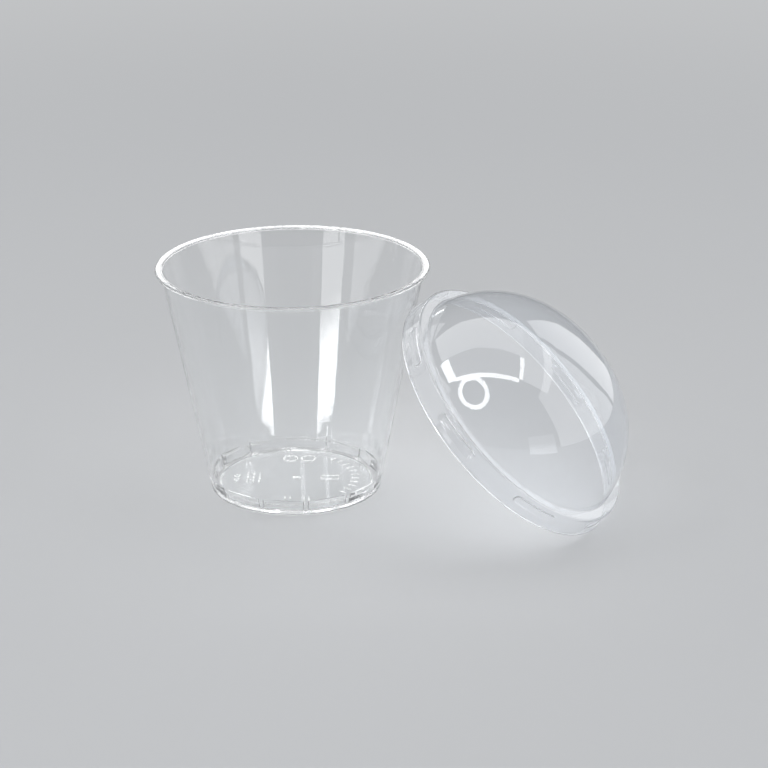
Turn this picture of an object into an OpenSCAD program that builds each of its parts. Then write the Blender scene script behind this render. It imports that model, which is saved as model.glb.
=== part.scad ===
// Clear dessert cup with its domed lid. The lid is off, its lip on the table and leaning
// on the cup's wall. Millimetres, +Z up, the origin at the centre of the cup's foot.

/* [Cup] */
// Height of the cup, from the table to the top of the rim
cup_h = 81.2; // [76:0.2:90]
// Outer diameter of the rim bead
rim_d = 95; // [90:0.5:100]
// Height of the rim bead
bead_h = 1; // [0.8:0.05:1.4]
// How far the bead stands out from the wall under it
bead_out = 1.75; // [1.2:0.05:2.2]
// Wall thickness at the rim
wall_top_t = 0.8; // [0.7:0.05:1]
// Wall thickness just above the floor
wall_low_t = 1.1; // [0.9:0.05:1.3]
// Outer diameter of the wall at its lower end, above the foot
wall_low_d = 62.2; // [58:0.2:66]

/* [Foot and floor] */
// Height of the foot band under the tapered wall
foot_h = 4.35; // [3.8:0.05:5.2]
// How far the foot band is set in from the wall
foot_in = 0.65; // [0.4:0.05:0.8]
// Draft of the foot band, on the radius
foot_draft = 0.2; // [0:0.05:0.3]
// Width of the ring the cup stands on
ring_w = 2.8; // [2:0.1:4]
// Height of the floor's underside over the table
floor_up = 0.7; // [0.4:0.1:1.2]
// Floor thickness
floor_t = 1; // [0.8:0.1:1.2]
// Length of the gate nub at the floor's centre
nub_l = 3.2; // [2:0.1:5]
// Width of the gate nub
nub_w = 1.3; // [0.8:0.1:2]
// Height of the gate nub
nub_h = 0.35; // [0.2:0.05:0.6]

/* [Stacking pads] */
// Number of flat-faced pads in the ring above the floor
pad_n = 12; // [8:1:14]
// Height of the pads over the floor
pad_h = 3.7; // [3:0.1:4.5]
// How far a pad's flat face stands in from the wall's foot, at its middle
pad_in = 0.85; // [0.8:0.05:1.2]
// Draft of a pad's flat face over its height, on the radius
pad_draft = 0.7; // [0.4:0.05:0.8]
// Gap between two pads, as an angle
pad_gap = 3.2; // [2:0.1:6]
// Angle of the first pad
pad_turn = 23.2; // [0:0.1:30]

/* [Lid] */
// Sheet thickness of the lid
lid_t = 0.35; // [0.3:0.01:0.45]
// Gap between the rim bead and the inside of the lid's skirt, on the radius
lid_clear = 0.05; // [0.02:0.01:0.3]
// Height of the skirt, from the lip to the top of the ledge
skirt_h = 7.8; // [7:0.1:9]
// Flare of the skirt towards the lip, on the radius
skirt_flare = 0.25; // [0.1:0.05:0.6]
// How far the lip stands out from the skirt
lip_out = 0.65; // [0.4:0.05:1.2]
// Outer radius of the bend between skirt and ledge
bend_r = 0.9; // [0.6:0.05:1.3]
// Width of the flat ledge between bend and dome, bend included
ledge_w = 3.9; // [3.2:0.1:4.4]
// Radius of the dome's side in section
dome_side_r = 37; // [34:0.5:40]
// Drop of that radius's centre under the ledge
dome_drop = 9; // [6:0.5:12]
// Radius of the dome's flatter top in section
dome_top_r = 95; // [70:1:140]

/* [Skirt dimples] */
// Number of dimples round the skirt
dimple_n = 8; // [4:1:10]
// Length of one dimple, as an angle
dimple_span = 22; // [12:0.5:26]
// Radius of a dimple's round section and ends
dimple_r = 1.9; // [1.6:0.05:2]
// How far a dimple stands in from the inside of the skirt
dimple_in = 0.95; // [0.6:0.05:1.2]
// Free height between the dimples and the rim bead, lid on
dimple_free = 0.55; // [0.2:0.05:0.7]
// Angle of the first dimple
dimple_turn = 33.7; // [0:0.1:45]

/* [Lean] */
// Tilt of the lid away from level
lean = 46; // [42:0.5:52]
// Direction in which the lid stands, seen from the cup
lean_turn = -19.3; // [-180:0.1:180]
// Gap left between the lid's lip and the cup's wall
lean_gap = 0.15; // [0.05:0.01:0.3]

/* [Hidden] */

$fn = 120;

// cup
rim_r = rim_d / 2;
wall_top_r = rim_r - bead_out;
wall_low_r = wall_low_d / 2;
taper = (wall_top_r - wall_low_r) / (cup_h - foot_h);
foot_top_z = foot_h - foot_in;
foot_top_r = wall_low_r - foot_in;
foot_r = foot_top_r - foot_draft;
edge = 0.3;
ring_in_r = foot_r - ring_w;
floor_z = floor_up + floor_t;
in_top_r = wall_top_r - wall_top_t;
in_low_r = wall_low_r + (floor_z - foot_h) * taper - wall_low_t;
in_taper = (in_top_r - in_low_r) / (cup_h - floor_z);
pad_face_r = in_low_r - pad_in;
pad_half = 180 / pad_n - pad_gap / 2;
pad_w = 2 * pad_face_r * tan(pad_half);
sink = 0.3;

// lid, in its own frame: the lip's underside at 0, the dome upwards
skirt_in_r = rim_r + lid_clear;
skirt_top_r = skirt_in_r + lid_t;
skirt_low_r = skirt_top_r + skirt_flare;
lip_r = skirt_low_r + lip_out;
dome_low_r = skirt_top_r - ledge_w;
side_z = skirt_h - dome_drop;
side_x = dome_low_r - sqrt(pow(dome_side_r, 2) - pow(dome_drop, 2));
centres = dome_top_r - dome_side_r;
top_z = side_z - sqrt(pow(centres, 2) - pow(side_x, 2));
join_x = side_x / centres;
join_z = (side_z - top_z) / centres;
dimple_z = skirt_h - lid_t - bead_h - dimple_free - sqrt(pow(dimple_r, 2) - pow(dimple_r - dimple_in, 2));
dimple_c = skirt_in_r - dimple_in + dimple_r;
end_step = 0.02;

// where the lid stands
lid_z = lip_r * sin(lean);
touch_r = wall_low_r + (2 * lid_z - foot_h) * taper;
lid_x = touch_r + lean_gap * sqrt(1 + pow(taper, 2)) + lip_r * cos(lean);

module cup_shell() {
    rotate_extrude() {
        polygon([
            [0, floor_up],
            [ring_in_r - floor_up, floor_up],
            [ring_in_r, 0],
            [foot_r - edge, 0],
            [foot_r, edge],
            [foot_top_r, foot_top_z],
            [wall_low_r, foot_h],
            [wall_top_r, cup_h],
            [in_top_r, cup_h],
            [in_low_r, floor_z],
            [0, floor_z]
        ]);
        translate([wall_top_r - wall_top_t / 2, cup_h - bead_h])
            square([bead_out + wall_top_t / 2 - bead_h / 2, bead_h]);
        translate([rim_r - bead_h / 2, cup_h - bead_h / 2])
            intersection() {
                circle(r = bead_h / 2);
                translate([0, -bead_h])
                    square([bead_h, 2 * bead_h]);
            }
    }
}

module stacking_pads() {
    intersection() {
        for (i = [0 : pad_n - 1])
            rotate([0, 0, pad_turn + i * 360 / pad_n])
                translate([pad_face_r, 0, floor_z + pad_h / 2])
                    rotate([0, atan(pad_draft / pad_h), 0])
                        translate([0, -pad_w / 2, -pad_h])
                            cube([pad_in * 3, pad_w, pad_h * 2]);
        translate([0, 0, floor_z - sink])
            cylinder(
                h = pad_h + sink,
                r1 = in_low_r - sink * in_taper + sink,
                r2 = in_low_r + pad_h * in_taper + sink
            );
    }
}

module gate_nub() {
    translate([0, 0, floor_z - sink]) {
        translate([-(nub_l - nub_w) / 2, -nub_w / 2, 0])
            cube([nub_l - nub_w, nub_w, nub_h + sink]);
        for (x = [-1, 1])
            translate([x * (nub_l - nub_w) / 2, 0, 0])
                cylinder(h = nub_h + sink, r = nub_w / 2 - end_step);
    }
}

module cup() {
    color([0.9, 0.94, 0.97, 0.35]) {
        cup_shell();
        stacking_pads();
        gate_nub();
    }
}

module arc_band(r) {
    difference() {
        circle(r = r);
        circle(r = r - lid_t);
    }
}

module dome_side_section() {
    low_z = skirt_h - lid_t;
    far = 2 * dome_side_r;
    inner = (low_z - side_z) / join_z;
    intersection() {
        translate([side_x, side_z])
            arc_band(dome_side_r);
        polygon([
            [side_x + inner * join_x, low_z],
            [side_x + far, low_z],
            [side_x + far, side_z + far * join_z],
            [side_x + far * join_x, side_z + far * join_z]
        ]);
    }
}

module dome_top_section() {
    apex = top_z + dome_top_r;
    reach = 3;
    low = dome_side_r - reach;
    high = dome_side_r + reach;
    intersection() {
        translate([0, top_z])
            arc_band(dome_top_r);
        polygon([
            [0, apex - reach],
            [side_x + low * join_x, side_z + low * join_z],
            [side_x + high * join_x, side_z + high * join_z],
            [0, apex + reach]
        ]);
    }
}

module skirt_section() {
    bend_x = skirt_top_r - bend_r;
    bend_z = skirt_h - bend_r;
    polygon([
        [skirt_low_r - lid_t, 0],
        [lip_r, 0],
        [lip_r, lid_t],
        [skirt_low_r, lid_t],
        [skirt_top_r, bend_z],
        [skirt_top_r - lid_t, bend_z]
    ]);
    translate([bend_x, bend_z])
        intersection() {
            arc_band(bend_r);
            square(bend_r * 2);
        }
    translate([dome_low_r - lid_t / 2, skirt_h - lid_t])
        square([bend_x - dome_low_r + lid_t / 2, lid_t]);
}

module lid_shell() {
    rotate_extrude() {
        skirt_section();
        dome_side_section();
        dome_top_section();
    }
}

module dimple_bodies(r) {
    ends = asin(dimple_r / dimple_c);
    arc = dimple_span - 2 * ends;
    for (i = [0 : dimple_n - 1])
        rotate([0, 0, dimple_turn + i * 360 / dimple_n - arc / 2])
            translate([0, 0, dimple_z]) {
                rotate_extrude(angle = arc)
                    translate([dimple_c, 0])
                        circle(r = r, $fn = 32);
                for (a = [0, arc])
                    rotate([0, 0, a])
                        translate([dimple_c, 0, 0])
                            sphere(r = r - end_step, $fn = 32);
            }
}

module lid_form() {
    difference() {
        union() {
            lid_shell();
            intersection() {
                dimple_bodies(dimple_r);
                cylinder(h = skirt_h - bend_r, r = skirt_top_r - lid_t / 2);
            }
        }
        dimple_bodies(dimple_r - lid_t);
    }
}

module lid() {
    color([0.86, 0.91, 0.96, 0.35])
        rotate([0, 0, lean_turn])
            translate([lid_x, 0, lid_z])
                rotate([0, lean, 0])
                    lid_form();
}

cup();
lid();
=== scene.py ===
"""Clear dessert cup with its dome lid taken off and leaning on it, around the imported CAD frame.

Sizes are in millimetres, as in the part's source, and MM turns them into metres.
"""

import math

import bmesh
import bpy
import numpy as np
from mathutils import Matrix, Vector


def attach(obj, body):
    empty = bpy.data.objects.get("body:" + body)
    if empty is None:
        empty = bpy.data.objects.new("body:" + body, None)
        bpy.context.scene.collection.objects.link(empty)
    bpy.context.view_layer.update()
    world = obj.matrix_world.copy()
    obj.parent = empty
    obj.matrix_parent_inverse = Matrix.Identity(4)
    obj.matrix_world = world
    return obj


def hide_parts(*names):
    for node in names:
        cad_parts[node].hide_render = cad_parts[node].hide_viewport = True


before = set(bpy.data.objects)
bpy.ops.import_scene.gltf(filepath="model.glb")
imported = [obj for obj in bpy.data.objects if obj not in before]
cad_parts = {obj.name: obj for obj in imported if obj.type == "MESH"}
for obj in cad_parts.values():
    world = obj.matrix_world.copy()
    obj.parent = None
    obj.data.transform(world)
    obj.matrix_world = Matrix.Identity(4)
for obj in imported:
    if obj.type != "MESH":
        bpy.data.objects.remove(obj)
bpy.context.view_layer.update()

MM = 0.001
# radius at which a section ends beside the axis
AXIS_R = 0.02

# Sizes of the cup

# _R is a radius, _T a thickness, _H a height and _W a width
CUP_H = 81.2
RIM_R = 47.5
BEAD_H = 1.0
BEAD_OUT = 1.75
WALL_TOP_T = 0.8
WALL_LOW_T = 1.1
WALL_LOW_R = 31.1
FOOT_H = 4.35
FOOT_IN = 0.65
FOOT_DRAFT = 0.2
RING_W = 2.8
FLOOR_UP = 0.7
FLOOR_T = 1.0
NUB_L, NUB_W, NUB_H = 3.2, 1.3, 0.35
PAD_N = 12
PAD_H = 3.7
PAD_IN = 0.85
PAD_DRAFT = 0.7
PAD_GAP = 3.2
PAD_TURN = 23.2

WALL_TOP_R = RIM_R - BEAD_OUT
TAPER = (WALL_TOP_R - WALL_LOW_R) / (CUP_H - FOOT_H)
FOOT_TOP_R = WALL_LOW_R - FOOT_IN
FOOT_R = FOOT_TOP_R - FOOT_DRAFT
RING_IN_R = FOOT_R - RING_W
FLOOR_Z = FLOOR_UP + FLOOR_T
IN_TOP_R = WALL_TOP_R - WALL_TOP_T
IN_LOW_R = WALL_LOW_R + (FLOOR_Z - FOOT_H) * TAPER - WALL_LOW_T
IN_TAPER = (IN_TOP_R - IN_LOW_R) / (CUP_H - FLOOR_Z)
PAD_FACE_R = IN_LOW_R - PAD_IN
PAD_TOP = FLOOR_Z + PAD_H

# Sizes of the lid

LID_T = 0.35
LID_CLEAR = 0.05
SKIRT_H = 7.8
SKIRT_FLARE = 0.25
LIP_OUT = 0.65
BEND_R = 0.9
LEDGE_W = 3.9
DOME_SIDE_R = 37.0
DOME_DROP = 9.0
DOME_TOP_R = 95.0
DIMPLE_N = 8
DIMPLE_SPAN = 22.0
DIMPLE_R = 1.9
DIMPLE_IN = 0.95
DIMPLE_FREE = 0.55
DIMPLE_TURN = 33.7
LEAN = 46.0
LEAN_TURN = -19.3
LEAN_GAP = 0.15

SKIRT_IN_R = RIM_R + LID_CLEAR
SKIRT_TOP_R = SKIRT_IN_R + LID_T
SKIRT_LOW_R = SKIRT_TOP_R + SKIRT_FLARE
LIP_R = SKIRT_LOW_R + LIP_OUT
DOME_LOW_R = SKIRT_TOP_R - LEDGE_W
SIDE_Z = SKIRT_H - DOME_DROP
SIDE_X = DOME_LOW_R - math.sqrt(DOME_SIDE_R**2 - DOME_DROP**2)
CENTRES = DOME_TOP_R - DOME_SIDE_R
TOP_Z = SIDE_Z - math.sqrt(CENTRES**2 - SIDE_X**2)
JOIN = math.atan2(SIDE_Z - TOP_Z, SIDE_X)
DIMPLE_C = SKIRT_IN_R - DIMPLE_IN + DIMPLE_R
DIMPLE_Z = (
    SKIRT_H - LID_T - BEAD_H - DIMPLE_FREE
    - math.sqrt(DIMPLE_R**2 - (DIMPLE_R - DIMPLE_IN) ** 2)
)
LID_Z = LIP_R * math.sin(math.radians(LEAN))
TOUCH_R = WALL_LOW_R + (2 * LID_Z - FOOT_H) * TAPER
LID_X = (
    TOUCH_R + LEAN_GAP * math.sqrt(1 + TAPER**2)
    + LIP_R * math.cos(math.radians(LEAN))
)
LID_PLACE = (
    Matrix.Rotation(math.radians(LEAN_TURN), 4, "Z")
    @ Matrix.Translation((LID_X, 0, LID_Z))
    @ Matrix.Rotation(math.radians(LEAN), 4, "Y")
)


# Mesh helpers

# an arc takes at most this share of the straight run beside it
MOST_CUT = 0.48


def rounded(corners, steps=5):
    """A profile of (r, z) points through corners (r, z, radius), each corner made an arc."""
    out = [np.array(corners[0][:2])]
    for last, (r, z, rad), following in zip(corners, corners[1:], corners[2:]):
        here = np.array([r, z])
        to_last, to_next = np.array(last[:2]) - here, np.array(following[:2]) - here
        len_last, len_next = np.linalg.norm(to_last), np.linalg.norm(to_next)
        a, b = to_last / len_last, to_next / len_next
        half = math.acos(max(-1.0, min(1.0, float(a @ b)))) / 2
        cut = min(rad / math.tan(half), MOST_CUT * len_last, MOST_CUT * len_next)
        mid = a + b
        centre = here + mid / np.linalg.norm(mid) * cut / math.cos(half)
        p, q = here + a * cut - centre, here + b * cut - centre
        turn = math.atan2(p[0] * q[1] - p[1] * q[0], float(p @ q))
        for k in range(steps + 1):
            c, s = math.cos(turn * k / steps), math.sin(turn * k / steps)
            out.append(centre + np.array([c * p[0] - s * p[1], s * p[0] + c * p[1]]))
    out.append(np.array(corners[-1][:2]))
    return np.array(out)


def smooth_step(x):
    """Rises from 0 to 1 between 0 and 1, level at both ends."""
    x = np.clip(x, 0, 1)
    return x * x * (3 - 2 * x)


def new_piece(name, verts, faces, place=None):
    """A smooth-shaded object, its faces turned outwards, from vertices in millimetres."""
    mesh = bpy.data.meshes.new(name)
    mesh.from_pydata((np.array(verts) * MM).tolist(), [], faces)
    mesh.validate()
    bm = bmesh.new()
    bm.from_mesh(mesh)
    bmesh.ops.recalc_face_normals(bm, faces=bm.faces)
    bm.to_mesh(mesh)
    bm.free()
    if place is not None:
        move = place.copy()
        move.translation = move.translation * MM
        mesh.transform(move)
    mesh.shade_smooth()
    piece = bpy.data.objects.new(name, mesh)
    bpy.context.collection.objects.link(piece)
    return piece


def round_mesh(name, angles, rows, place=None):
    """A closed mesh from rows[j][i] = (r, z) at angles[i], its first and last rows joined to
    the axis."""
    n, m = len(angles), len(rows)
    cos, sin = np.cos(angles), np.sin(angles)
    verts = [np.stack([row[:, 0] * cos, row[:, 0] * sin, row[:, 1]], -1) for row in rows]
    verts.append([[0, 0, row[:, 1].mean()] for row in (rows[0], rows[-1])])
    ring = np.arange(n)
    after = (ring + 1) % n
    faces = []
    for a in range(0, (m - 1) * n, n):
        faces += np.stack([a + ring, a + after, a + n + after, a + n + ring], -1).tolist()
    first_hub, last_hub, last = np.full(n, m * n), np.full(n, m * n + 1), (m - 1) * n
    faces += np.stack([after, ring, first_hub], -1).tolist()
    faces += np.stack([last + ring, last + after, last_hub], -1).tolist()
    piece = new_piece(name, np.vstack(verts), faces, place)
    even = piece.modifiers.new("face_weighted_normals", "WEIGHTED_NORMAL")
    even.mode = "FACE_AREA"
    even.weight = 50
    return piece


# Cup

# columns of points, in degrees: in the gap between two pads, round a pad's end, along a pad
IN_GAP = [-0.6, 0, 0.6]
ROUND_PAD_END = (-0.3, -0.2, -0.1, 0, 0.1, 0.2, 0.3, 0.45)
ALONG_PAD = 26
# angle over which a pad rises from the wall at its ends
PAD_END = 0.5
# how far the wall between the pads stands in, at the height of their top
PAD_STEP = 0.03
# longest face up the wall
LONGEST = 5.0


def pad_angles():
    """Angles round the cup, closer together at the ends of the stacking pads."""
    near = [PAD_GAP / 2 + d for d in ROUND_PAD_END]
    step = 360 / PAD_N
    across_pad = np.linspace(near[-1], step - near[-1], ALONG_PAD)[1:-1]
    one = [-a for a in near[::-1]] + IN_GAP + near + across_pad.tolist()
    gaps = PAD_TURN + step / 2 + np.arange(PAD_N) * step
    return np.radians(np.sort((gaps[:, None] + np.array(sorted(one))[None]).ravel()))


def make_cup():
    """The cup's whole section, swept round, with the pads' flat faces let into its inside."""
    angles = pad_angles()
    step = 2 * math.pi / PAD_N
    off = (angles - math.radians(PAD_TURN) + step / 2) % step - step / 2
    chords = PAD_FACE_R / np.cos(off)
    end = step / 2 - math.radians(PAD_GAP / 2)
    on_pad = smooth_step((end - np.abs(off)) / math.radians(PAD_END) + 0.5)
    above_pads = IN_LOW_R + PAD_H * IN_TAPER
    under_pad_top = above_pads - PAD_STEP
    columns = []
    for chord, share in zip(chords, on_pad):
        low = IN_LOW_R + (chord - PAD_DRAFT / 2 - IN_LOW_R) * share
        top = under_pad_top + (chord + PAD_DRAFT / 2 - under_pad_top) * share
        # radius, height and edge round of each corner, from the underside out, up and in
        columns.append(rounded([
            (AXIS_R, FLOOR_UP, 0),
            (RING_IN_R - FLOOR_UP, FLOOR_UP, 0.4),
            (RING_IN_R, 0, 0.35),
            (FOOT_R, 0, 0.4),
            (FOOT_TOP_R, FOOT_H - FOOT_IN, 0.2),
            (WALL_LOW_R, FOOT_H, 0.35),
            (WALL_TOP_R - BEAD_H * TAPER, CUP_H - BEAD_H, 0.2),
            (RIM_R, CUP_H - BEAD_H, 0.48),
            (RIM_R, CUP_H, 0.48),
            (IN_TOP_R, CUP_H, 0.22),
            (above_pads, PAD_TOP, 0.2),
            (top, PAD_TOP, 0.22),
            (low, FLOOR_Z, 0.3),
            (AXIS_R, FLOOR_Z, 0),
        ]))
    columns = np.array(columns)
    rows = []
    for j in range(columns.shape[1] - 1):
        here, run = columns[:, j], columns[:, j + 1] - columns[:, j]
        parts = max(1, math.ceil(np.linalg.norm(run, axis=1).max() / LONGEST))
        rows += [here + run * q / parts for q in range(parts)]
    rows.append(columns[:, -1])
    return round_mesh("cup_body", angles, rows)


# section of a stroke, in shares of its width and height, and its fullness towards an open end
ACROSS = np.array([-1, -0.92, -0.7, -0.35, 0, 0.35, 0.7, 0.92, 1]) / 2
LIFT = (0, 0.45, 0.8, 0.96, 1, 0.96, 0.8, 0.45, 0)
END_BACK = (1, 0.9, 0.7, 0.4)
END_FULL = (0.05, 0.44, 0.71, 0.92)
# height left of a stroke at its very end, and how deep strokes stand in the face under them
END_LEFT = 0.3
STROKE_SINK = 0.12


def open_path(points, width):
    """The path with its ends pulled in and closed with half rounds, and its fullness."""
    ends = []
    for a, b in ((points[0], points[1]), (points[-1], points[-2])):
        ahead = (b - a) / np.linalg.norm(b - a)
        ends.append([a + ahead * width / 2 * (1 - t) for t in END_BACK])
    path = np.vstack([ends[0], points[1:-1], ends[1][::-1]])
    full = np.ones(len(path))
    for i, t in enumerate(END_FULL):
        full[i] = full[-1 - i] = t
    return path, full


def left_of(path, closed):
    """Unit vectors to the left of the path at each of its points."""
    after, before = np.roll(path, -1, 0) - path, path - np.roll(path, 1, 0)
    if not closed:
        after[-1], before[0] = before[-1], after[0]
    along = sum(v / np.linalg.norm(v, axis=1)[:, None] for v in (after, before))
    along /= np.linalg.norm(along, axis=1)[:, None]
    return np.stack([-along[:, 1], along[:, 0]], -1)


def raised_strokes(name, strokes, base_z):
    """Low round-topped strokes on a flat face. strokes: (points, width, height, closed)."""
    verts, faces = [], []
    for points, width, height, closed in strokes:
        path = np.array(points, float)
        full = np.ones(len(path))
        if not closed:
            path, full = open_path(path, width)
        section = [(ACROSS[0], -STROKE_SINK)]
        section += [(a, h * height) for a, h in zip(ACROSS, LIFT)]
        section.append((ACROSS[-1], -STROKE_SINK))
        start, n, k = len(verts), len(path), len(section)
        for point, side, share in zip(path, left_of(path, closed), full):
            for a, h in section:
                x, y = point + side * a * width * share
                up = h if h < 0 else h * (END_LEFT + (1 - END_LEFT) * share)
                verts.append((x, y, base_z + up))
        for i in range(n if closed else n - 1):
            a, b = start + i * k, start + ((i + 1) % n) * k
            for j in range(k):
                faces.append([a + j, b + j, b + (j + 1) % k, a + (j + 1) % k])
        if not closed:
            faces.append([start + j for j in range(k)])
            faces.append([start + (n - 1) * k + j for j in range(k)][::-1])
    return new_piece(name, verts, faces)


def circle(x, y, r, n):
    """n points of a circle."""
    turns = np.radians(np.linspace(0, 360, n, endpoint=False))
    return [(x + r * math.cos(t), y + r * math.sin(t)) for t in turns]


# The raised shapes on the cup's floor
MARK_W, MARK_H = 0.62, 0.22
LARGE_RINGS, LARGE_RING_R = ((-2.6, 17.6), (3.9, 17.6)), 2.5
SMALL_RINGS, SMALL_RING_R, SMALL_RING_W = ((-21.2, -1.6), (-21.2, 1.6)), 0.9, MARK_W * 0.8
FRAME_CORNERS = ((9.0, -1.5), (15.0, -1.5), (15.0, 1.7), (9.0, 1.7))
# x, lower y and upper y of each upright bar
LEFT_BARS = ((-17.4, -4.5, 5.6), (-15.3, -4.5, 5.6), (-13.2, -4.5, 5.6))
FRONT_BARS = (
    (-3.4, -19.5, -17.2), (-1.6, -19.5, -17.2), (3.2, -22.6, -17.0), (5.0, -22.2, -17.4)
)
# a curved row of ticks, by their turns and the radii that they reach between
TICK_TURNS, TICK_START, TICK_STOP = range(-38, 53, 9), 19.6, 22.6


def make_floor_marks():
    """Plain raised shapes on the cup's floor, and the gate nub at its centre."""
    strokes = []

    def rings(centres, r, n, width):
        for x, y in centres:
            strokes.append((circle(x, y, r, n), width, MARK_H, True))

    def bars(places):
        for x, low, high in places:
            strokes.append(([(x, low), (x, high)], MARK_W, MARK_H, False))

    rings(LARGE_RINGS, LARGE_RING_R, 28, MARK_W)
    bars(LEFT_BARS)
    rings(SMALL_RINGS, SMALL_RING_R, 16, SMALL_RING_W)
    strokes.append((FRAME_CORNERS, MARK_W, MARK_H, True))
    for turn in TICK_TURNS:
        c, s = math.cos(math.radians(turn)), math.sin(math.radians(turn))
        tick = [(r * c, r * s) for r in (TICK_START, TICK_STOP)]
        strokes.append((tick, MARK_W, MARK_H, False))
    bars(FRONT_BARS)
    strokes.append(([(-NUB_L / 2, 0), (NUB_L / 2, 0)], NUB_W, NUB_H, False))
    return raised_strokes("cup_floor_marks", strokes, FLOOR_Z)


# Lid

# columns of points, in degrees past a dimple's end: from, to and the step between them there,
# and their number on either side
END_FROM, END_TO, END_STEP = -3.2, 1.0, 0.3
BESIDE_END = 9
# how softly a dimple's edge turns into the skirt
DIMPLE_EDGE = 0.3
# a depth that keeps a dimple's form clear of the plain skirt
NO_DIMPLE = -4.0
# heights of the skirt's rows of points, close together where the dimples are
SKIRT_ZS = (1.0, *np.linspace(DIMPLE_Z - 2.2, DIMPLE_Z + 2.2, 25))
# height over the ledge at which the round at the dome's foot ends, and that round's radius
DOME_FOOT, DOME_ROUND, DOME_ROUND_INSIDE = 0.6, 0.45, 0.6
# stretch of the flat ledge that is taken into the section of that round
LEDGE_LEFT = 2.0
# points round the bend, up the dome's side and over its top
BEND_STEPS, SIDE_STEPS, TOP_STEPS = 8, 40, 9
# edge rounds of the lip, and how far its section goes up the skirt
LIP_ROUNDS, LIP_UP = (0.12, 0.16, 0.16, 0.25), 0.3


def lid_angles():
    """Angles round the lid, closer together at the ends of the dimples."""
    step = 360 / DIMPLE_N
    half = DIMPLE_SPAN / 2
    near = np.arange(half + END_FROM, half + END_TO, END_STEP)
    mid = np.linspace(0, near[0], BESIDE_END)[:-1]
    far = np.linspace(near[-1], step / 2, BESIDE_END)[1:]
    one = np.concatenate([mid, near, far])
    one = np.concatenate([-one[1:-1][::-1], one])
    centres = DIMPLE_TURN + np.arange(DIMPLE_N) * step
    return np.radians(np.sort((centres[:, None] + one[None]).ravel()))


def soft_min(a, b, k):
    """The lesser of a and b, with the crease between them rounded over k."""
    h = np.clip(0.5 + 0.5 * (b - a) / k, 0, 1)
    return b + (a - b) * h - k * h * (1 - h)


def skirt_row(z, along, inner):
    """The skirt's radius at height z, along being the way past each dimple's straight part."""
    sheet = LID_T if inner else 0
    lower, upper = SKIRT_LOW_R - sheet, SKIRT_TOP_R - sheet
    up = (z - LID_T) / (SKIRT_H - BEND_R - LID_T)
    plain = np.full(len(along), lower + (upper - lower) * up)
    tube = DIMPLE_R - (0 if inner else LID_T)
    away = np.hypot(along, z - DIMPLE_Z)
    round_in = np.sqrt(np.maximum(tube**2 - away**2, 0))
    r = soft_min(plain, DIMPLE_C - np.where(away < tube, round_in, NO_DIMPLE), DIMPLE_EDGE)
    return np.stack([r, np.full(len(along), z)], -1)


def lid_top(t):
    """Points from the bend over the ledge and up the dome, t in from the outer surface."""
    points = []
    for turn in np.radians(np.linspace(0, 90, BEND_STEPS)):
        points.append((
            SKIRT_TOP_R - BEND_R + (BEND_R - t) * math.cos(turn),
            SKIRT_H - BEND_R + (BEND_R - t) * math.sin(turn),
        ))
    side, top, low = DOME_SIDE_R - t, DOME_TOP_R - t, SKIRT_H - t
    start = math.asin((low + DOME_FOOT - SIDE_Z) / side)
    corner_r = SIDE_X + math.sqrt(side**2 - (low - SIDE_Z) ** 2)
    points += [tuple(point) for point in rounded([
        (corner_r + LEDGE_LEFT, low, 0),
        (corner_r, low, DOME_ROUND + t * DOME_ROUND_INSIDE),
        (SIDE_X + side * math.cos(start), SIDE_Z + side * math.sin(start), 0),
    ])]
    for turn in np.linspace(start, JOIN, SIDE_STEPS)[1:]:
        points.append((SIDE_X + side * math.cos(turn), SIDE_Z + side * math.sin(turn)))
    for turn in np.linspace(JOIN, math.pi / 2, TOP_STEPS)[1:-1]:
        points.append((top * math.cos(turn), TOP_Z + top * math.sin(turn)))
    points.append((AXIS_R, TOP_Z + top))
    return points


def make_lid():
    """The thin lid from the dome's top down its outside, round the lip and up its inside."""
    angles = lid_angles()
    step = 2 * math.pi / DIMPLE_N
    off = (angles - math.radians(DIMPLE_TURN) + step / 2) % step - step / 2
    arc_half = math.radians(DIMPLE_SPAN) / 2 - math.asin(DIMPLE_R / DIMPLE_C)
    along = np.maximum(np.abs(off) - arc_half, 0) * DIMPLE_C

    def plain_rows(points):
        return [np.tile(np.asarray(point, float), (len(angles), 1)) for point in points]

    over_lip = LID_T + LIP_UP
    lip = rounded([
        (SKIRT_LOW_R, over_lip, 0),
        (SKIRT_LOW_R, LID_T, LIP_ROUNDS[0]),
        (LIP_R, LID_T, LIP_ROUNDS[1]),
        (LIP_R, 0, LIP_ROUNDS[2]),
        (SKIRT_LOW_R - LID_T, 0, LIP_ROUNDS[3]),
        (SKIRT_LOW_R - LID_T, over_lip, 0),
    ], 4)
    rows = plain_rows(reversed(lid_top(0)))
    rows += [skirt_row(z, along, inner=False) for z in reversed(SKIRT_ZS)]
    rows += plain_rows(lip)
    rows += [skirt_row(z, along, inner=True) for z in SKIRT_ZS]
    rows += plain_rows(lid_top(LID_T))
    return round_mesh("lid_body", angles, rows, LID_PLACE)


# Materials

FLOOR_HALF = 9.0
FLOOR_COLOUR = (0.525, 0.534, 0.546, 1)
BACKGROUND = (0.54, 0.549, 0.56, 1)
ROOM_COLOUR = (0.11, 0.114, 0.121, 1)
# distance from the origin over which the floor runs out into the background
FADE_START, FADE_END = 0.42, 0.95
# depth of the fine relief in the plastic
FINE_RELIEF = 0.004 * MM
# places of the two colours and of the result among a Mix node's sockets
MIX_A, MIX_B, MIX_RESULT = 6, 7, 2


def new_material(name):
    """A material with an empty node tree, and that tree's nodes and links."""
    mat = bpy.data.materials.new(name)
    mat.use_nodes = True
    mat.node_tree.nodes.clear()
    return mat, mat.node_tree.nodes, mat.node_tree.links


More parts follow.
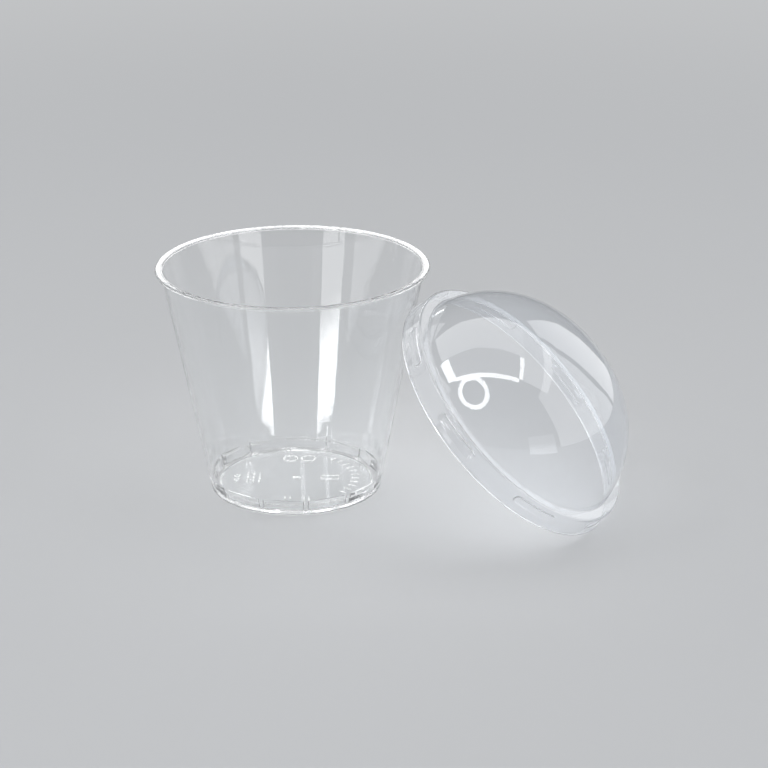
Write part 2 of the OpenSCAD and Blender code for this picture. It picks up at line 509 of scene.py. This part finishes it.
def add(nodes, kind, values=None, **settings):
    """A new shader node with its settings, and its inputs' values by name or number."""
    node = nodes.new("ShaderNode" + kind)
    for setting, value in settings.items():
        setattr(node, setting, value)
    for socket, value in (values or {}).items():
        node.inputs[socket].default_value = value
    return node


def clear_plastic(name, tint, ior, streak_scale, wave_mm, wave_scale, shade,
                  haze_range=(0.008, 0.035), clearness=1.0):
    """Clear plastic: fine flow streaks, a faint waviness and a little haze. shade is the share
    of light that passes on in shadows, met face on and edge on."""
    mat, nodes, links = new_material(name)
    out = add(nodes, "OutputMaterial")
    plastic = add(nodes, "BsdfPrincipled", {
        "Base Color": (*tint, 1), "Transmission Weight": clearness, "IOR": ior,
    })
    where = add(nodes, "TexCoord")
    stretch = add(nodes, "Mapping", {"Scale": streak_scale})
    links.new(where.outputs["Object"], stretch.inputs["Vector"])
    streaks = add(nodes, "TexNoise", {"Scale": 1, "Detail": 3})
    links.new(stretch.outputs["Vector"], streaks.inputs["Vector"])
    waves = add(nodes, "TexNoise", {"Scale": wave_scale, "Detail": 1})
    links.new(where.outputs["Object"], waves.inputs["Vector"])
    haze = add(nodes, "MapRange", {
        "From Min": 0.35, "From Max": 0.75, "To Min": haze_range[0], "To Max": haze_range[1],
    })
    links.new(streaks.outputs["Fac"], haze.inputs["Value"])
    links.new(haze.outputs["Result"], plastic.inputs["Roughness"])
    fine = add(nodes, "Bump", {"Strength": 1, "Distance": FINE_RELIEF})
    links.new(streaks.outputs["Fac"], fine.inputs["Height"])
    broad = add(nodes, "Bump", {"Strength": 1, "Distance": wave_mm * MM})
    links.new(waves.outputs["Fac"], broad.inputs["Height"])
    links.new(fine.outputs["Normal"], broad.inputs["Normal"])
    links.new(broad.outputs["Normal"], plastic.inputs["Normal"])
    # in shadows, light passes straight on, less of it where it meets the wall edge on
    facing = add(nodes, "LayerWeight", {"Blend": 0.5})
    rise = add(nodes, "Math", {1: 4}, operation="POWER")
    links.new(facing.outputs["Facing"], rise.inputs[0])
    passed = add(nodes, "Mix", data_type="RGBA")
    for socket, share in zip((MIX_A, MIX_B), shade):
        passed.inputs[socket].default_value = (share, share, share, 1)
    links.new(rise.outputs["Value"], passed.inputs["Factor"])
    let_through = add(nodes, "BsdfTransparent")
    links.new(passed.outputs[MIX_RESULT], let_through.inputs["Color"])
    path = add(nodes, "LightPath")
    both = add(nodes, "MixShader")
    links.new(path.outputs["Is Shadow Ray"], both.inputs["Fac"])
    links.new(plastic.outputs["BSDF"], both.inputs[1])
    links.new(let_through.outputs["BSDF"], both.inputs[2])
    links.new(both.outputs["Shader"], out.inputs["Surface"])
    return mat


def seen_directly(nodes, links):
    """1 for rays that meet the background straight on or through the plastic, otherwise 0."""
    path = add(nodes, "LightPath")
    either = add(nodes, "Math", operation="MAXIMUM")
    links.new(path.outputs["Is Camera Ray"], either.inputs[0])
    links.new(path.outputs["Is Transmission Ray"], either.inputs[1])
    return either.outputs["Value"]


def floor_material():
    """Matte pale floor that runs out into an even pale background far from the cup."""
    mat, nodes, links = new_material("pale_floor")
    out = add(nodes, "OutputMaterial")
    matte = add(nodes, "BsdfPrincipled", {
        "Base Color": FLOOR_COLOUR, "Roughness": 0.75, "Specular IOR Level": 0.2,
    })
    far_off = add(nodes, "Emission", {"Color": BACKGROUND})
    place = add(nodes, "NewGeometry")
    distance = add(nodes, "VectorMath", operation="LENGTH")
    links.new(place.outputs["Position"], distance.inputs[0])
    fade = add(nodes, "MapRange", {"From Min": FADE_START, "From Max": FADE_END},
               interpolation_type="SMOOTHSTEP")
    links.new(distance.outputs["Value"], fade.inputs["Value"])
    share = add(nodes, "Math", operation="MULTIPLY")
    links.new(fade.outputs["Result"], share.inputs[0])
    links.new(seen_directly(nodes, links), share.inputs[1])
    both = add(nodes, "MixShader")
    links.new(share.outputs["Value"], both.inputs["Fac"])
    links.new(matte.outputs["BSDF"], both.inputs[1])
    links.new(far_off.outputs["Emission"], both.inputs[2])
    links.new(both.outputs["Shader"], out.inputs["Surface"])
    return mat


# Pieces

cup_plastic = clear_plastic(
    "clear_moulded_plastic", (0.985, 0.99, 0.992), 1.59,
    streak_scale=(700, 700, 25), wave_mm=0.015, wave_scale=170, shade=(0.95, 0.15),
)
lid_plastic = clear_plastic(
    "clear_sheet_plastic", (0.965, 0.978, 0.995), 1.57,
    streak_scale=(260, 260, 260), wave_mm=0.02, wave_scale=90, shade=(0.955, 0.2),
)
marks_plastic = clear_plastic(
    "frosted_marks", (0.985, 0.99, 0.992), 1.59,
    streak_scale=(900, 900, 900), wave_mm=0.01, wave_scale=600, shade=(0.95, 0.15),
    haze_range=(0.2, 0.4), clearness=0.55,
)
cup = make_cup()
marks = make_floor_marks()
lid = make_lid()
for piece, material, slot in (
    (cup, cup_plastic, "clear_cup"),
    (marks, marks_plastic, "clear_cup"),
    (lid, lid_plastic, "clear_lid"),
):
    piece.data.materials.append(material)
    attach(piece, "root")
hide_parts("cup")
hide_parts("lid")

bpy.ops.mesh.primitive_plane_add(size=2 * FLOOR_HALF, location=(0, 0, 0))
floor = bpy.context.object
floor.name = "floor"
floor.data.materials.append(floor_material())

# Light, in metres

# one level for all lamps, at which the floor renders about as its colour is written
LAMP_LEVEL = 0.85


def soft_light(name, place, normal, size_x, size_y, glow, up=(0, 0, 1)):
    """An area lamp whose face shines evenly, glow being its radiance at level 1."""
    data = bpy.data.lights.new(name, "AREA")
    data.shape = "RECTANGLE"
    data.size, data.size_y = size_x, size_y
    data.energy = LAMP_LEVEL * glow * size_x * size_y * math.pi
    lamp = bpy.data.objects.new(name, data)
    bpy.context.collection.objects.link(lamp)
    back = -Vector(normal).normalized()
    side = Vector(up).cross(back).normalized()
    turn = Matrix((side, back.cross(side), back)).transposed().to_4x4()
    lamp.matrix_world = Matrix.Translation(place) @ turn
    lamp.visible_camera = False
    return lamp


def from_middle(turn, rise, distance):
    """The point seen from the cup at turn degrees right of the camera's side and rise up."""
    turn, rise = math.radians(turn), math.radians(rise)
    flat = math.cos(rise) * distance
    return Vector((flat * math.sin(turn), -flat * math.cos(turn), math.sin(rise) * distance))


def dim_upwards(lamp, start, stop, left_over):
    """Lets a lamp's glow fall to a share of itself between two heights."""
    lamp.data.use_nodes = True
    nodes, links = lamp.data.node_tree.nodes, lamp.data.node_tree.links
    point = add(nodes, "NewGeometry")
    axes = add(nodes, "SeparateXYZ")
    links.new(point.outputs["Position"], axes.inputs["Vector"])
    share = add(nodes, "MapRange", {
        "From Min": start, "From Max": stop, "To Min": 1, "To Max": left_over,
    }, interpolation_type="SMOOTHSTEP")
    links.new(axes.outputs["Z"], share.inputs["Value"])
    links.new(share.outputs["Result"], nodes["Emission"].inputs["Strength"])


def receivers_of(name, pieces):
    """A collection of the pieces that a flagged lamp reaches."""
    receivers = bpy.data.collections.new(name)
    for piece in pieces:
        receivers.objects.link(piece)
    return receivers


# a light box around the cup: ceiling, bright tubes along its edges, side walls, an open front
CEILING = 2.0
for name, x, y, drop, size_x, size_y, glow in (
    ("ceiling_front", -0.35, -0.42, 0, 2.7, 0.85, 0.5),
    ("ceiling_back", -0.28, 0.70, 0, 2.84, 1.38, 1.6),
    ("ceiling_right", 1.77, 0.27, 0, 1.26, 2.24, 1.3),
    ("tube_front", -0.25, -0.93, 0, 2.5, 0.17, 6.0),
    ("tube_right", 1.07, -0.20, 0, 0.14, 1.3, 6.0),
    ("tube_left", -1.60, -0.48, 0.02, 0.5, 0.95, 6.0),
):
    soft_light(name, (x, y, CEILING - drop), (0, 0, -1), size_x, size_y, glow, up=(0, 1, 0))

# flat wall panels, each between two turns
WALL_AWAY, WALL_HEIGHT = 2.9, 2.4
for name, start, stop, glow in (
    ("wall_right", 57, 128, 1.1),
    ("wall_back_right", 131, 146, 1.2),
    ("wall_left", -110, -57, 1.1),
    ("wall_back_left", -150, -116, 0.9),
):
    half = math.radians(stop - start) / 2
    middle = from_middle((start + stop) / 2, 0, WALL_AWAY * math.cos(half))
    width = 2 * WALL_AWAY * math.sin(half)
    place = middle + Vector((0, 0, WALL_HEIGHT / 2))
    soft_light(name, place, -middle, width, WALL_HEIGHT, glow)

# two low strips beside the open front, bright at the foot. The cup mirrors them, and the lid
# only lets a dimmer pair through
STRIP_AWAY, STRIP_WIDTH, STRIP_TOP = 0.5, 0.19, 0.12
STRIP_BRIGHT_TO, STRIP_DIM_FROM = 0.035, 0.075
cup_receives = receivers_of("light_on_cup", (cup, marks))
lid_receives = receivers_of("light_through_lid", (lid,))
for side, turn in (("left", -37.5), ("right", 42.0)):
    foot = from_middle(turn, 0, STRIP_AWAY)
    place = foot + Vector((0, 0, STRIP_TOP / 2))
    for reached, receivers, glow, dimmest in (
        ("cup", cup_receives, 9.0, 0.22),
        ("lid", lid_receives, 2.8, 0.4),
    ):
        name = f"strip_{side}_{reached}"
        strip = soft_light(name, place, -foot, STRIP_WIDTH, STRIP_TOP, glow)
        strip.light_linking.receiver_collection = receivers
        strip.visible_glossy = reached == "cup"
        dim_upwards(strip, STRIP_BRIGHT_TO, STRIP_DIM_FROM, dimmest)

# a long strip far behind gives the flat top of the rim its bright line
rim_light = soft_light("rim_light", (0, 2.5, 0.85), (0, -1, 0), 3.0, 0.15, 4.5)
rim_light.light_linking.receiver_collection = cup_receives
dim_upwards(rim_light, 0.85, 0.90, 0.5)

# a ring lamp above and behind the camera, to its left, made of short straight lamps
RING_PLACE = from_middle(-26, 46.5, 1.8)
LAMP_RING_R, LAMP_RING_W, RING_LAMPS, RING_GLOW = 0.41, 0.14, 24, 6.0
ring_side = Vector((0, 0, 1)).cross(RING_PLACE).normalized()
ring_up = RING_PLACE.normalized().cross(ring_side)
ring_part = 2 * LAMP_RING_R * math.tan(math.pi / RING_LAMPS)
for i in range(RING_LAMPS):
    turn = 2 * math.pi * i / RING_LAMPS
    spoke = ring_side * math.cos(turn) + ring_up * math.sin(turn)
    place = RING_PLACE + LAMP_RING_R * spoke
    soft_light(f"ring_{i}", place, -RING_PLACE, ring_part, LAMP_RING_W, RING_GLOW, spoke)

# the dim room around, which shows as the plain background
world = bpy.data.worlds.new("pale_room")
bpy.context.scene.world = world
world.use_nodes = True
nodes, links = world.node_tree.nodes, world.node_tree.links
nodes.clear()
world_out = add(nodes, "OutputWorld")
room = add(nodes, "Background", {"Color": ROOM_COLOUR})
seen = add(nodes, "Background", {"Color": BACKGROUND})
either = add(nodes, "MixShader")
links.new(seen_directly(nodes, links), either.inputs["Fac"])
links.new(room.outputs["Background"], either.inputs[1])
links.new(seen.outputs["Background"], either.inputs[2])
links.new(either.outputs["Shader"], world_out.inputs["Surface"])

# Camera, fitted to the picture

CAMERA_PLACE = (0.031453, -0.802749, 0.340223)
CAMERA_DOWN = 20.687
CAMERA_ROLL = -0.2227
FOCAL_PIXELS = 2436.49
PICTURE_PIXELS = 768
SENSOR = 36
camera_data = bpy.data.cameras.new("photo_camera")
camera_data.sensor_width = SENSOR
camera_data.lens = FOCAL_PIXELS / PICTURE_PIXELS * SENSOR
camera = bpy.data.objects.new("photo_camera", camera_data)
bpy.context.collection.objects.link(camera)
camera.matrix_world = (
    Matrix.Translation(CAMERA_PLACE)
    @ Matrix.Rotation(math.radians(90 - CAMERA_DOWN), 4, "X")
    @ Matrix.Rotation(math.radians(CAMERA_ROLL), 4, "Z")
)
scene = bpy.context.scene
scene.camera = camera
scene.view_settings.view_transform = "Standard"

# light that runs round inside the rim and the foot has to find its way out again
BOUNCES = 128
scene.cycles.max_bounces = BOUNCES
scene.cycles.transmission_bounces = BOUNCES
scene.cycles.glossy_bounces = BOUNCES
scene.cycles.transparent_max_bounces = 24
